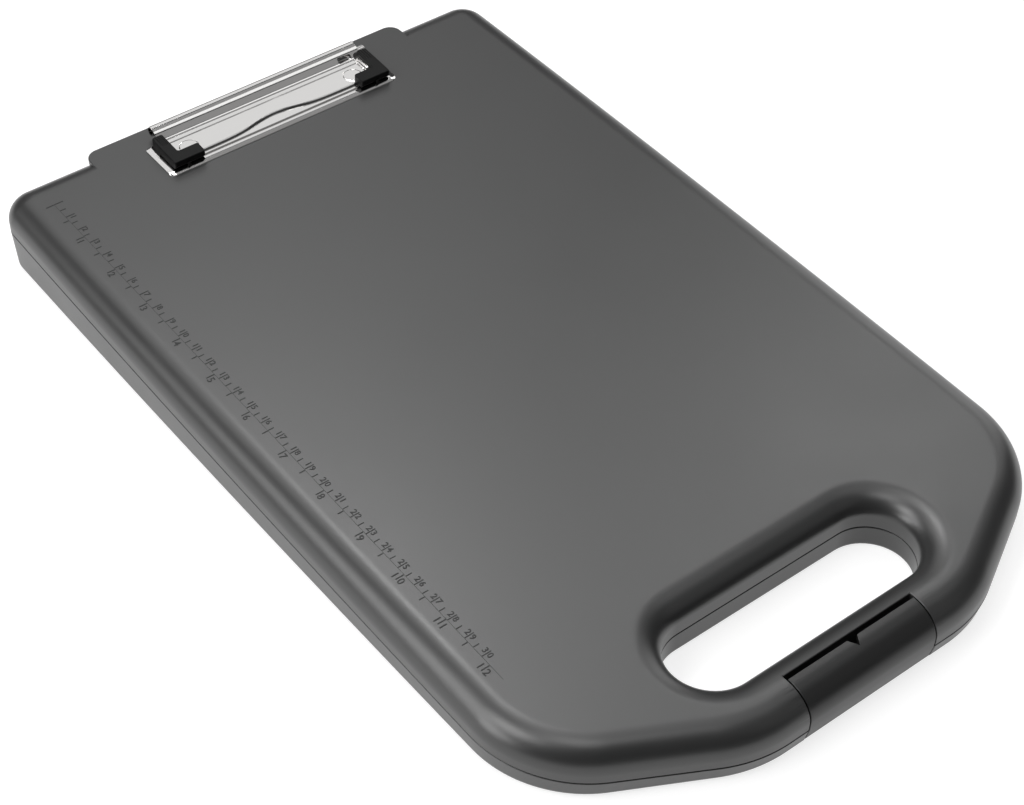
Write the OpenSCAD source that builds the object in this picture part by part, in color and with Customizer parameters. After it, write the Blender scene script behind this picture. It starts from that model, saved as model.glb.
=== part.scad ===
// Storage clipboard box: a shallow wedge-shaped case with a hinged writing lid,
// a carrying handle with a swing latch, and a low sprung paper clip.
// Everything is drawn in the board frame, where z = 0 is the writing surface,
// +Y is the clip end and X runs across. on_desk() then tips that frame so
// that the flat bottom of the case stands on z = 0.

/* [Case] */
// Length of the case along the board
case_len = 406; // [380:1:440]
// Width of the case at its corners
case_w = 251.5; // [230:0.5:280]
// How far each long side bows out at its middle
side_bow = 1.5; // [0:0.1:3]
// Thickness at the clip end
rear_depth = 36.2; // [34:0.1:44]
// Thickness at the handle end
front_depth = 23.6; // [22:0.1:28]
// Moulded wall thickness
wall = 2.4; // [2:0.1:3]
// Radius of the two corners at the clip end
rear_corner_r = 13; // [12.5:0.5:18]
// Radius where a long side turns into the handle taper
shoulder_r = 50; // [35:1:60]
// Radius where the handle taper turns into the grip bar
bar_r = 57; // [40:1:70]
// Length of the tapered handle end
taper_len = 38.6; // [30:0.1:50]
// Half the width at which the taper would meet the grip bar
bar_half = 53.7; // [40:0.1:60]

/* [Lid] */
// How far the edge rounding reaches in from the outline
edge_in = 12; // [8:0.5:12.4]
// How far the edge rounding drops below the writing surface
edge_drop = 10.7; // [8:0.1:12]
// Depth of the parting line below the writing surface
seam_z = 14.6; // [13:0.1:17]
// Gap between lid and tray along the parting line
seam_gap = 0.45; // [0.3:0.05:0.8]
// Width of the flat hinge tab at the clip end
tab_w = 165; // [150:1:180]
// How far the tab stands out past the outline
tab_reach = 0.7; // [0.5:0.1:1.5]

/* [Tray] */
// Draft of the tray's outer wall from the seam to the bottom
tray_draft = 0.9; // [0.3:0.1:1.5]
// Rounding along the tray's bottom edge
foot_round = 3.9; // [3:0.1:5]

/* [Handle hole] */
// Distance from the handle end to the middle of the hole
hole_from_end = 42.1; // [40:0.1:46]
// Half the length of the hole across the case
hole_half_len = 57.4; // [50:0.1:62]
// Half the width of the hole along the case
hole_half_w = 17.3; // [14:0.1:18]
// How far the soft top edge of the hole flares out
flare_out = 11.8; // [8:0.1:12]
// How deep that flare reaches
flare_drop = 8.5; // [6:0.1:10]

/* [Latch] */
// Width of the latch cover
latch_w = 61; // [50:1:66]
// Gap at each end of the latch cover
latch_gap = 0.5; // [0.3:0.1:0.8]
// Width of the open finger slot along the latch's top edge
slot_w = 2.2; // [1.8:0.1:3]

/* [Clip] */
// Width of the clip's base plate
plate_w = 119.2; // [110:0.1:125]
// Length of the base plate along the board
plate_len = 22.4; // [20:0.1:25]
// Width of the clip's jaw between its corner grips
jaw_w = 107; // [100:1:110]
// Sheet thickness of the jaw
jaw_t = 0.6; // [0.5:0.05:0.7]
// Turns in each torsion spring
spring_turns = 8; // [5:1:10]

/* [Hidden] */
$fn = 48;

y_far = case_len / 2;
y_near = -case_len / 2;
hole_y = y_near + hole_from_end;
slope = (rear_depth - front_depth) / case_len;
tilt = atan(slope);
// board z of the bottom plane at a given y
function bottom_z(y) = -rear_depth + slope * (y_far - y);

lid_z = -(seam_z - seam_gap / 2);
tray_z = -(seam_z + seam_gap / 2);

// Rounding of the foot of the hole and of the tray's inner bottom edge
foot_lip = 2.2;
inner_round = 2;

// Low rib across the tray
stop_y = hole_y + hole_half_w + 8;
stop_t = 1.8;
stop_h = 7;

// Hinge, tucked under the tab
tab_t = 2.5;
tab_corner_r = 5.8;
tab_lap = 14;
knuckle_r = 2.7;
hinge_pin_r = 1.2;
run_gap = 0.06;
part_gap = 0.4;
hinge_y = y_far + tab_reach - 0.1 - knuckle_r;
hinge_z = -(tab_t + 0.3 + knuckle_r);
hinge_x = 56;
post_w = 16;
ear_w = 10;
post_back = 0.5;
post_foot = 10;

// Latch, swinging on a pin near the bottom of the grip bar
latch_t = 2.2;
latch_pin_r = 1.1;
latch_barrel_r = foot_round;
latch_lift = 0.4;
latch_y = y_near + tray_draft + foot_round;
latch_z = bottom_z(latch_y) + foot_round + latch_lift;
bay_half = latch_w / 2 + latch_gap;
bay_wall = 2.4;
slot_near_y = y_near + 13.4;
slot_far_y = slot_near_y + slot_w;
latch_pin_half = bay_half + bay_wall - 1;
tray_bay_y = latch_y + latch_barrel_r + 0.5;
hook_half = 10;
ledge_reach = 1;
hook_gap = 0.3;
ledge_top_z = -11;
ledge_t = 2;
hook_t = 1.8;
hook_drop = 0.6;
gusset_t = 2;
notch_side = 3.4;
notch_deep = 1.4;
pin_play = 0.2;

// Clip
plate_t = 1.0;
plate_side_bevel = 0.5;
plate_front_bevel = 2.2;
plate_corner_r = 2.8;
plate_end_r = 1.4;
plate_front_y = y_far - 35.4;
plate_back_y = plate_front_y + plate_len;
pivot_y = y_far - 12.1;
pivot_z = 2.6;
pivot_r = 0.9;
curl_r = 2.0;
curl_y = y_far - 8.2;
curl_z = 4.9;
roll_r = 5.9;
roll_turn = 45;
slope_r = 2.9;
ledge_z = 2.72;
panel_z = 2.47;
lip_z = 1.38;
// where the slope's lower bend runs out onto the ledge, with the slope at roll_turn
ledge_y = curl_y - (roll_r + slope_r) * sin(roll_turn)
    - (curl_z + curl_r - ledge_z - (roll_r + slope_r) * (1 - cos(roll_turn))) / tan(roll_turn);
lug_x = 49;
lug_t = 1.2;
lug_r = 1.5;
grip_half = 56.4;
grip_in = 41.2;
grip_arm_w = 5.2;
grip_low = plate_t + 0.3;
grip_arch = 3;
grip_high = 5.45;
grip_rise = 0.052;
grip_front_y = y_far - 33.8;
grip_back_y = y_far - 12.6;
rivet_x = 43.5;
rivet_y = y_far - 20.5;
rivet_r = 1.5;
washer_r = 4;
washer_t = 0.8;

// Springs
wire_r = 0.25;
coil_r = 1.27;
coil_pitch = 1.2;
coil_x = 26;

lift = -bottom_z(0) * cos(tilt);
// the tipped case reaches furthest at the tab's end face and at the grip bar
y_shift = ((y_far + tab_reach + y_near) * cos(tilt) + (tab_t + edge_drop) * sin(tilt)) / 2;
module on_desk() translate([0, -y_shift, lift]) rotate([tilt, 0, 0]) children();

// Plane geometry

function unit(v) = v / norm(v);
function half_angle(a, p, b) = acos(unit(a - p) * unit(b - p)) / 2;
function inner_way(a, p, b) = unit(unit(a - p) + unit(b - p));

// corner p of a convex outline, moved in by d
function moved_in(a, p, b, d) = p + inner_way(a, p, b) * d / sin(half_angle(a, p, b));

// n + 1 points of the arc of radius r that rounds corner p
function arc_at(a, p, b, r, n) = let (
    h = half_angle(a, p, b),
    c = p + inner_way(a, p, b) * r / sin(h),
    s = p + unit(a - p) * r / tan(h) - c,
    e = p + unit(b - p) * r / tan(h) - c,
    a0 = atan2(s[1], s[0]),
    turn = (atan2(e[1], e[0]) - a0 + 540) % 360 - 180)
    [for (i = [0:n]) c + r * [cos(a0 + turn * i / n), sin(a0 + turn * i / n)]];

// The case outline: sharp corners, anticlockwise from the right clip-end corner,
// each with its radius and its number of facets
case_corners = [[case_w / 2, y_far], [-case_w / 2, y_far], [-case_w / 2, y_near + taper_len],
    [-bar_half, y_near], [bar_half, y_near], [case_w / 2, y_near + taper_len]];
case_radii = [rear_corner_r, rear_corner_r, shoulder_r, bar_r, bar_r, shoulder_r];
case_facets = [7, 7, 12, 7, 7, 12];
side_steps = 7;

// long sides swell by side_bow at their middle
side_mid = taper_len / 2;
side_half = (case_len - taper_len) / 2;
function bowed(p) = [p[0] * (1 + 2 * side_bow / case_w
    * max(0, 1 - pow((p[1] - side_mid) / side_half, 2))), p[1]];

// points between two arcs, so that a long side can bow
function between(p, q, n) = norm(q - p) < case_len / 2 ? []
    : [for (i = [1:n - 1]) p + (q - p) * i / n];

// outline of the case moved in by d
function case_outline(d) = let (
    n = len(case_corners),
    v = [for (i = [0:n - 1]) moved_in(case_corners[(i + n - 1) % n], case_corners[i],
        case_corners[(i + 1) % n], d)],
    arcs = [for (i = [0:n - 1]) arc_at(v[(i + n - 1) % n], v[i], v[(i + 1) % n],
        case_radii[i] - d, case_facets[i])])
    [for (i = [0:n - 1]) each [for (p = concat(arcs[i],
        between(arcs[i][case_facets[i]], arcs[(i + 1) % n][0], side_steps))) bowed(p)]];

// outline of the handle hole grown by d
hole_facets = 16;
function hole_outline(d) = let (r = hole_half_w + d, x = hole_half_len - hole_half_w)
    [for (side = [1, -1], i = [0:hole_facets])
        let (a = -90 * side + 180 * i / hole_facets)
        [side * x + r * cos(a), hole_y + r * sin(a)]];

// Rings at a board height, or at a height over the bottom plane
function flat_ring(pts, z) = [for (p = pts) [p[0], p[1], z]];
function low_ring(pts, z) = [for (p = pts) [p[0], p[1], bottom_z(p[1]) + z]];

// Closed skin over a stack of rings, listed from the top down
module loft(rings) {
    n = len(rings[0]);
    m = len(rings);
    polyhedron(
        points = [for (r = rings) each r],
        faces = concat(
            [[for (i = [n - 1:-1:0]) i]],
            [for (k = [0:m - 2], i = [0:n - 1]) each
                let (a = k * n + i, b = k * n + (i + 1) % n)
                [[a, b, b + n], [a, b + n, a + n]]],
            [[for (i = [0:n - 1]) (m - 1) * n + i]]));
}

// Shells

round_steps = 8;
inner_steps = 6;

module lid_solid() loft(concat(
    [for (k = [0:round_steps]) let (a = 90 * k / round_steps)
        flat_ring(case_outline(edge_in * (1 - sin(a))), -edge_drop * (1 - cos(a)))],
    [flat_ring(case_outline(0), lid_z)]));

module lid_hollow() loft(concat(
    [for (k = [0:inner_steps]) let (a = 90 * k / inner_steps)
        flat_ring(case_outline(wall + (edge_in - wall) * (1 - sin(a))),
            -wall - (edge_drop - wall) * (1 - cos(a)))],
    [flat_ring(case_outline(wall), lid_z - 1)]));

// soft-edged hole, from above the surface to below everything
module hole_void() loft(concat(
    [flat_ring(hole_outline(flare_out), 1)],
    [for (k = [0:round_steps]) let (a = 90 * k / round_steps)
        flat_ring(hole_outline(flare_out * (1 - sin(a))), -flare_drop * (1 - cos(a)))],
    [low_ring(hole_outline(0), foot_lip), low_ring(hole_outline(foot_lip * 0.3), foot_lip * 0.3),
        low_ring(hole_outline(foot_lip * 1.7), -foot_lip * 0.3)]));

// wall that lines the hole, seen from inside the case
module hole_liner(low_z) loft(concat(
    [flat_ring(hole_outline(flare_out), -wall + 1)],
    [for (k = [0:inner_steps]) let (a = 90 * k / inner_steps)
        flat_ring(hole_outline(wall + (flare_out - wall) * (1 - sin(a))),
            -wall - (flare_drop - wall) * (1 - cos(a)))],
    [low_ring(hole_outline(wall), low_z)]));

module tray_solid() loft(concat(
    [flat_ring(case_outline(0), tray_z)],
    [for (k = [0:inner_steps]) let (a = 90 * k / inner_steps)
        low_ring(case_outline(tray_draft + foot_round * (1 - cos(a))),
            foot_round * (1 - sin(a)))]));

module tray_hollow() loft(concat(
    [flat_ring(case_outline(wall), tray_z + 1)],
    [for (k = [0:3]) let (a = 30 * k)
        low_ring(case_outline(tray_draft + wall + inner_round * (1 - cos(a))),
            wall + inner_round * (1 - sin(a)))]));

// block across the case: x from -half to half, y0 to y1, z0 to z1
module across(half, y0, y1, z0, z1) translate([-half, y0, z0]) cube([2 * half, y1 - y0, z1 - z0]);

// rod along X at a board y and z, from x0 to x1
module rod(r, y, z, x0, x1) translate([x0, y, z]) rotate([0, 90, 0]) cylinder(r = r, h = x1 - x0);

// Hinge pieces, drawn for the right side and mirrored for the left

knuckle_x0 = hinge_x - post_w / 2;
knuckle_x1 = hinge_x + post_w / 2;
hinge_x0 = knuckle_x0 - part_gap - ear_w;
hinge_x1 = knuckle_x1 + part_gap + ear_w;
module both_sides() {
    children();
    mirror([1, 0, 0]) children();
}

module hinge_post() {
    rod(knuckle_r, hinge_y, hinge_z, knuckle_x0, knuckle_x1);
    translate([knuckle_x0, hinge_y - knuckle_r, tray_z - post_foot])
        cube([post_w, knuckle_r + post_back, hinge_z - tray_z + post_foot]);
}

module hinge_ear(x0) {
    rod(knuckle_r, hinge_y, hinge_z, x0, x0 + ear_w);
    translate([x0, hinge_y - knuckle_r, hinge_z]) cube([ear_w, 2 * knuckle_r, -hinge_z - tab_t / 2]);
}

module hinge_notch() translate([knuckle_x0 - part_gap, hinge_y - knuckle_r - part_gap, lid_z - 1])
    cube([post_w + 2 * part_gap, 20, -lid_z + 1 - tab_t]);

module hinge_pin() rod(hinge_pin_r, hinge_y, hinge_z, hinge_x0 + 0.2, hinge_x1 - 0.2);

module tab() {
    half = tab_w / 2;
    end = y_far + tab_reach;
    corners = [[half, end], [-half, end], [-half, end - tab_lap], [half, end - tab_lap]];
    translate([0, 0, -tab_t]) linear_extrude(tab_t)
        polygon(concat(arc_at(corners[3], corners[0], corners[1], tab_corner_r, 8),
            arc_at(corners[0], corners[1], corners[2], tab_corner_r, 8),
            [corners[2], corners[3]]));
}

// The two shells

module base_tray() color([0.27, 0.27, 0.28]) on_desk() difference() {
    union() {
        difference() {
            tray_solid();
            difference() {
                tray_hollow();
                hole_liner(-1);
                paper_stop();
            }
        }
        intersection() {
            tray_solid();
            across(bay_half + bay_wall, y_near - 1, tray_bay_y + bay_wall, -rear_depth, 0);
        }
        both_sides() hinge_post();
    }
    hole_void();
    across(bay_half, y_near - 1, tray_bay_y, -rear_depth, 0);
    rod(latch_pin_r, latch_y, latch_z, -latch_pin_half - pin_play, latch_pin_half + pin_play);
    both_sides() rod(hinge_pin_r, hinge_y, hinge_z, knuckle_x0 - 1, knuckle_x1 + 1);
}

// low moulded rib that keeps papers out of the handle
module paper_stop() intersection() {
    across(case_w, stop_y, stop_y + stop_t, -rear_depth, 0);
    loft([low_ring(case_outline(0), stop_h), low_ring(case_outline(0), 0)]);
}

module lid_shell() color([0.3, 0.3, 0.31]) on_desk() difference() {
    union() {
        difference() {
            lid_solid();
            difference() {
                lid_hollow();
                hole_liner(1);
            }
            both_sides() hinge_notch();
        }
        intersection() {
            lid_solid();
            across(bay_half + bay_wall, y_near - 1, slot_far_y + bay_wall, lid_z, 0);
        }
        tab();
        both_sides() {
            hinge_ear(hinge_x0);
            hinge_ear(knuckle_x1 + part_gap);
        }
    }
    hole_void();
    difference() {
        across(bay_half, y_near - 1, slot_far_y, lid_z - 1, 1);
        across(hook_half + 2, slot_far_y - ledge_reach, slot_far_y + 1,
            ledge_top_z - ledge_t, ledge_top_z);
    }
    both_sides() {
        rod(hinge_pin_r + run_gap, hinge_y, hinge_z, hinge_x0 - 1, hinge_x1 + 1);
        translate([rivet_x, rivet_y, -wall - 1]) cylinder(r = rivet_r, h = wall + 2);
    }
}

module hinge_pin_left() color([0.7, 0.71, 0.72]) on_desk() mirror([1, 0, 0]) hinge_pin();
module hinge_pin_right() color([0.7, 0.71, 0.72]) on_desk() hinge_pin();

// Latch: a shell that carries the bar's own outer section from slot to floor

latch_outer = concat(
    [[slot_near_y, 0]],
    [for (k = [0:round_steps]) let (a = 90 * k / round_steps)
        [y_near + edge_in * (1 - sin(a)), -edge_drop * (1 - cos(a))]],
    [[y_near, -seam_z], [latch_y - latch_barrel_r, latch_z]]);
// the same line carried inwards by the latch's thickness, from bottom to top
latch_inner = concat(
    [[latch_y - latch_barrel_r + latch_t, latch_z], [y_near + latch_t, -seam_z]],
    [for (k = [round_steps:-1:0]) let (a = 90 * k / round_steps)
        [y_near + latch_t + (edge_in - latch_t) * (1 - sin(a)),
            -latch_t - (edge_drop - latch_t) * (1 - cos(a))]],
    [[slot_near_y, -latch_t]]);
latch_gusset = concat(latch_outer,
    [[latch_y + latch_barrel_r, latch_z], [latch_y + latch_barrel_r - 0.2, tray_z + 1],
        [slot_near_y - 1.4, -latch_t - 1], [slot_near_y, -latch_t]]);

// a polygon of board y and z, extruded along X from x0 to x1
module section(x0, x1, pts) translate([x0, 0, 0]) rotate([90, 0, 90]) linear_extrude(x1 - x0) polygon(pts);

module latch_cover() color([0.2, 0.2, 0.21]) on_desk() difference() {
    union() {
        section(-latch_w / 2, latch_w / 2, concat(latch_outer, latch_inner));
        for (x = [-latch_w / 2, -hook_half - gusset_t, hook_half, latch_w / 2 - gusset_t])
            section(x, x + gusset_t, latch_gusset);
        rod(latch_barrel_r, latch_y, latch_z, -latch_w / 2, latch_w / 2);
        across(hook_half, y_near + latch_t, slot_far_y - ledge_reach - hook_gap,
            ledge_top_z + hook_drop, ledge_top_z + hook_drop + hook_t);
    }
    rod(latch_pin_r + run_gap, latch_y, latch_z, -latch_w, latch_w);
    // finger mark: a small notch in the middle of the top edge
    translate([0, slot_near_y + 0.2, 0]) rotate([0, 0, 45])
        cube([notch_side, notch_side, 2 * notch_deep], center = true);
}

module latch_pin() color([0.7, 0.71, 0.72]) on_desk()
    rod(latch_pin_r, latch_y, latch_z, -latch_pin_half, latch_pin_half);

// Paper clip

// plan of the base plate, moved in by d at its sides and by f at its front
function plate_outline(d, f) = let (
    x = plate_w / 2 - d,
    y0 = plate_front_y + f,
    y1 = plate_back_y,
    c = [[x, y1], [-x, y1], [-x, y0], [x, y0]])
    concat(arc_at(c[3], c[0], c[1], plate_end_r, 4), arc_at(c[0], c[1], c[2], plate_end_r, 4),
        arc_at(c[1], c[2], c[3], plate_corner_r - d, 6), arc_at(c[2], c[3], c[0], plate_corner_r - d, 6));

module pivot_ear(x0, r) section(x0, x0 + lug_t, concat(
    [[plate_back_y - 3, plate_t / 2], [plate_back_y, plate_t / 2]],
    [for (a = [-60:20:120]) [pivot_y + r * cos(a), pivot_z + r * sin(a)]]));

module clip_base_plate() color([0.78, 0.78, 0.76]) on_desk() difference() {
    union() {
        loft([flat_ring(plate_outline(plate_side_bevel, plate_front_bevel), plate_t),
            flat_ring(plate_outline(0, 0), 0)]);
        both_sides() pivot_ear(lug_x - part_gap - lug_t, lug_r);
    }
    rod(pivot_r, pivot_y, pivot_z, -plate_w, plate_w);
    both_sides() translate([rivet_x, rivet_y, -1]) cylinder(r = rivet_r, h = plate_t + 2);
}

// centre line of the jaw's sheet, from the mouth of the rear curl to the front lip
jaw_line = concat(
    [for (a = [-190:15:80]) [curl_y + curl_r * cos(a), curl_z + curl_r * sin(a)]],
    [for (a = [9:9:roll_turn]) [curl_y - roll_r * sin(a), curl_z + curl_r - roll_r + roll_r * cos(a)]],
    [for (a = [roll_turn:-11.25:0]) [ledge_y + slope_r * sin(a), ledge_z + slope_r * (1 - cos(a))]],
    [[y_far - 17.45, ledge_z], [y_far - 17.95, panel_z], [y_far - 29.15, panel_z],
        [y_far - 30.05, lip_z], [y_far - 31.3, lip_z]]);

// outline of a strip of thickness t along an open line
function strip(pts, t) = let (
    n = len(pts),
    side = [for (i = [0:n - 1]) let (
        d = unit(pts[min(i + 1, n - 1)] - pts[max(i - 1, 0)])) [-d[1], d[0]] * t / 2])
    concat([for (i = [0:n - 1]) pts[i] + side[i]], [for (i = [n - 1:-1:0]) pts[i] - side[i]]);

module jaw_sheet() section(-jaw_w / 2, jaw_w / 2, strip(jaw_line, jaw_t));

module clip_jaw() color([0.8, 0.8, 0.78]) on_desk() difference() {
    union() {
        jaw_sheet();
        both_sides() {
            section(lug_x, lug_x + lug_t, [[pivot_y - lug_r, pivot_z], [pivot_y + lug_r, pivot_z],
                [pivot_y + lug_r, 6.4], [pivot_y - lug_r, 3.95]]);
            rod(lug_r, pivot_y, pivot_z, lug_x, lug_x + lug_t);
        }
    }
    rod(pivot_r + run_gap, pivot_y, pivot_z, -plate_w, plate_w);
}

module clip_pivot_rod() color([0.7, 0.71, 0.72]) on_desk()
    rod(pivot_r, pivot_y, pivot_z, -lug_x - lug_t - 0.4, lug_x + lug_t + 0.4);

// Torsion spring: a straight leg up under the jaw's roll, the coil round the rod, and
// a straight leg out over the base plate
coil_steps = 8;
spring_line = concat(
    [[-coil_pitch * spring_turns / 2, curl_y - 2.9, curl_z + 0.58],
        [-coil_pitch * spring_turns / 2, pivot_y + 1.35, pivot_z - 0.45]],
    [for (i = [0:spring_turns * coil_steps]) let (a = -90 - 360 * i / coil_steps)
        [coil_pitch * (i / coil_steps - spring_turns / 2),
            pivot_y + coil_r * cos(a), pivot_z + coil_r * sin(a)]],
    [[coil_pitch * spring_turns / 2, pivot_y - 2.2, plate_t + wire_r + 0.15],
        [coil_pitch * spring_turns / 2, pivot_y - 7, plate_t + wire_r + 0.15]]);

// least gap between turns of the coil, measured on its own points
coil_points = [for (i = [0:coil_steps * 2]) spring_line[i + 2]];
coil_least = min([for (i = [0:coil_steps * 2], j = [i + coil_steps - 1:1:coil_steps * 2])
    norm(coil_points[i] - coil_points[j])]) - 2 * wire_r;
echo(coil_gap = coil_least);

// six-sided tube of radius r along a line of points
tube_sides = 6;
module tube(line, r) {
    n = len(line);
    rings = [for (i = [0:n - 1]) let (
        d = unit(line[min(i + 1, n - 1)] - line[max(i - 1, 0)]),
        u = unit(cross(d, abs(d[0]) > 0.9 ? [0, 0, 1] : [1, 0, 0])),
        v = cross(d, u))
        [for (s = [0:tube_sides - 1]) let (a = 360 * s / tube_sides)
            line[i] + r * (u * cos(a) + v * sin(a))]];
    m = tube_sides;
    polyhedron(
        points = [for (r = rings) each r],
        faces = concat(
            [[for (s = [0:m - 1]) s]],
            [for (k = [0:n - 2], s = [0:m - 1]) each
                let (a = k * m + s, b = k * m + (s + 1) % m)
                [[a, b + m, b], [a, a + m, b + m]]],
            [[for (s = [m - 1:-1:0]) (n - 1) * m + s]]));
}

module clip_spring(x) on_desk() translate([x, 0, 0]) tube(spring_line, wire_r);
module clip_spring_left() color([0.6, 0.6, 0.62]) clip_spring(-coil_x);
module clip_spring_right() color([0.6, 0.6, 0.62]) clip_spring(coil_x);

// black corner grip: an arm along the jaw's end and a shorter one along its lip,
// both under one top plane that rises gently to the back
function grip_top(y) = grip_high + grip_rise * (y - grip_front_y);
grip_nose = [[grip_front_y + 1, grip_top(grip_front_y + 1)], [grip_front_y, grip_high - 0.5]];
grip_foot = [[grip_front_y, grip_arch], [grip_front_y + 1.3, grip_low]];
grip_arm = concat(grip_foot, [[grip_back_y, grip_low], [grip_back_y, grip_top(grip_back_y)]], grip_nose);
grip_lip = concat(grip_foot, [[grip_front_y + 6.5, grip_low],
    [grip_front_y + 6.5, grip_top(grip_front_y + 6.5)]], grip_nose);
module clip_grip() difference() {
    union() {
        section(grip_half - grip_arm_w, grip_half, grip_arm);
        section(grip_in, grip_half, grip_lip);
    }
    jaw_sheet();
}
module clip_grip_left() color([0.1, 0.1, 0.1]) on_desk() mirror([1, 0, 0]) clip_grip();
module clip_grip_right() color([0.1, 0.1, 0.1]) on_desk() clip_grip();

// two rivets that hold the plate to the lid, spread over a washer inside
module clip_rivets() color([0.72, 0.72, 0.72]) on_desk() both_sides() translate([rivet_x, rivet_y, 0])
    rotate_extrude() polygon([[0, plate_t + 0.9], [1.6, plate_t + 0.75], [2.8, plate_t + 0.3],
        [2.8, plate_t], [rivet_r, plate_t], [rivet_r, -wall - washer_t], [2.4, -wall - washer_t],
        [2.4, -wall - washer_t - 0.5], [1.6, -wall - washer_t - 0.9], [0, -wall - washer_t - 0.9]]);

module rivet_washers() color([0.66, 0.67, 0.68]) on_desk() both_sides()
    translate([rivet_x, rivet_y, -wall - washer_t]) difference() {
        cylinder(r = washer_r, h = washer_t);
        translate([0, 0, -1]) cylinder(r = rivet_r, h = washer_t + 2);
    }

base_tray();
lid_shell();
hinge_pin_left();
hinge_pin_right();
latch_cover();
latch_pin();
clip_base_plate();
clip_jaw();
clip_pivot_rod();
clip_spring_left();
clip_spring_right();
clip_grip_left();
clip_grip_right();
clip_rivets();
rivet_washers();
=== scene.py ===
"""Storage clipboard box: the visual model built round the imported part.

Shapes are worked out in millimetres in the board frame, where z = 0 is the
writing surface, +Y is the clip end and X runs across. on_desk() then tips
them onto the flat bottom of the case and turns them into metres.
"""

import bpy
import math
import numpy as np
from mathutils import Matrix


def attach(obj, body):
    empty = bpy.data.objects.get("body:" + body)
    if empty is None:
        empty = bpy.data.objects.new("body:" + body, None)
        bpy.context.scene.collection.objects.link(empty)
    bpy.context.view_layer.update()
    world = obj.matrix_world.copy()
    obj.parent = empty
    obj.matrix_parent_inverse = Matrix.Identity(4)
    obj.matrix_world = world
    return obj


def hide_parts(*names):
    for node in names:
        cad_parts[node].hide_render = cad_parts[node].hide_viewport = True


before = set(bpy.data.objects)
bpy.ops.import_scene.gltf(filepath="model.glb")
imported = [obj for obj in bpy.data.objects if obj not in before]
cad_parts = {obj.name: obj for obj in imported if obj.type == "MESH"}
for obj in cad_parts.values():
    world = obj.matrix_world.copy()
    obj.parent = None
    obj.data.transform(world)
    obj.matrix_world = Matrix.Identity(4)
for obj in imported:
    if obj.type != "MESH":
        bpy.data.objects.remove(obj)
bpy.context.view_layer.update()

# Sizes in millimetres
CASE_LEN, CASE_W, SIDE_BOW = 406.0, 251.5, 1.5
REAR_DEPTH, FRONT_DEPTH, WALL = 36.2, 23.6, 2.4
REAR_CORNER_R, SHOULDER_R, BAR_R = 13.0, 50.0, 57.0
TAPER_LEN, BAR_HALF = 38.6, 53.7
EDGE_IN, EDGE_DROP = 12.0, 10.7
SEAM_Z, SEAM_GAP = 14.6, 0.45
TAB_W, TAB_REACH, TAB_T, TAB_CORNER_R, TAB_LAP = 165.0, 0.7, 2.5, 5.8, 14.0
TRAY_DRAFT, FOOT_ROUND = 0.9, 3.9
HOLE_HALF_LEN, HOLE_HALF_W = 57.4, 17.3
FLARE_OUT, FLARE_DROP, FOOT_LIP = 11.8, 8.5, 2.2
Y_FAR, Y_NEAR = CASE_LEN / 2, -CASE_LEN / 2
HOLE_Y = Y_NEAR + 42.1
SLOPE = (REAR_DEPTH - FRONT_DEPTH) / CASE_LEN
TILT = math.atan(SLOPE)
LID_Z = -(SEAM_Z - SEAM_GAP / 2)
TRAY_Z = -(SEAM_Z + SEAM_GAP / 2)
LIP_R = 0.3

KNUCKLE_R, PIN_R, RUN_GAP, PART_GAP = 2.7, 1.2, 0.06, 0.4
HINGE_Y = Y_FAR + TAB_REACH - 0.1 - KNUCKLE_R
HINGE_Z = -(TAB_T + 0.3 + KNUCKLE_R)
HINGE_X, POST_W, EAR_W = 56.0, 16.0, 10.0

LATCH_W, LATCH_GAP, LATCH_T, LATCH_PIN_R = 61.0, 0.5, 2.2, 1.1
LATCH_Y = Y_NEAR + TRAY_DRAFT + FOOT_ROUND
SLOT_NEAR_Y, SLOT_FAR_Y = Y_NEAR + 13.4, Y_NEAR + 15.6
BAY_HALF, BAY_WALL = LATCH_W / 2 + LATCH_GAP, 2.4
TRAY_BAY_Y = LATCH_Y + FOOT_ROUND + 0.5
HOOK_HALF, GUSSET_T, LEDGE_TOP_Z = 10.0, 2.0, -11.0
MARK_HALF, MARK_LEN = 3.1, 4.0

PLATE_W, PLATE_T, PLATE_LEN = 119.2, 1.0, 22.4
PLATE_FRONT_Y = Y_FAR - 35.4
PLATE_BACK_Y = PLATE_FRONT_Y + PLATE_LEN
PIVOT_Y, PIVOT_Z, PIVOT_R = Y_FAR - 12.1, 2.6, 0.9
CURL_Y, CURL_Z, CURL_R, ROLL_R = Y_FAR - 8.2, 4.9, 2.0, 5.9
JAW_W, JAW_T = 107.0, 0.6
SLOPE_R, LEDGE_Z, JAW_PANEL_Z, LIP_Z = 2.9, 2.72, 2.47, 1.38
LEDGE_END_Y, PANEL_REAR_Y, LIP_END_Y = Y_FAR - 17.45, Y_FAR - 17.95, Y_FAR - 31.3
STEP_Y, STEP_HALF, STEP_R, FRONT_STEP_R = Y_FAR - 29.6, 0.3, 0.6, 0.33
WAVE_RISE, WAVE_X, WAVE_HALF = 3.8, -1.0, 14.4
LUG_X, LUG_T, LUG_R, LUG_REAR_TOP, LUG_FRONT_TOP = 49.0, 1.2, 1.5, 6.4, 3.95
DISC_R, DISC_SPOTS = 4.6, [(-43.9, 178.5), (42.6, 178.7)]
RIB_R, RIB_LEN, RIB_SPOTS = 0.45, 7.2, [(49.6, 180.0, 2.85), (50.7, 179.2, 3.6)]
SLOT_CORNERS = [[41.8, 188.3], [48.9, 188.6], [48.9, 190.3], [41.8, 190.5]]
KNOB_R, KNOB_Y, KNOB_Z, KNOB_END = 1.6, 191.5, 4.1, 57.6
SPRING_X, COIL_R, COIL_PITCH, COIL_TURNS, WIRE_R = 26, 1.27, 1.2, 8, 0.25
GRIP_HALF, GRIP_IN, GRIP_ARM_W = 56.4, 41.2, 5.2
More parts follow.
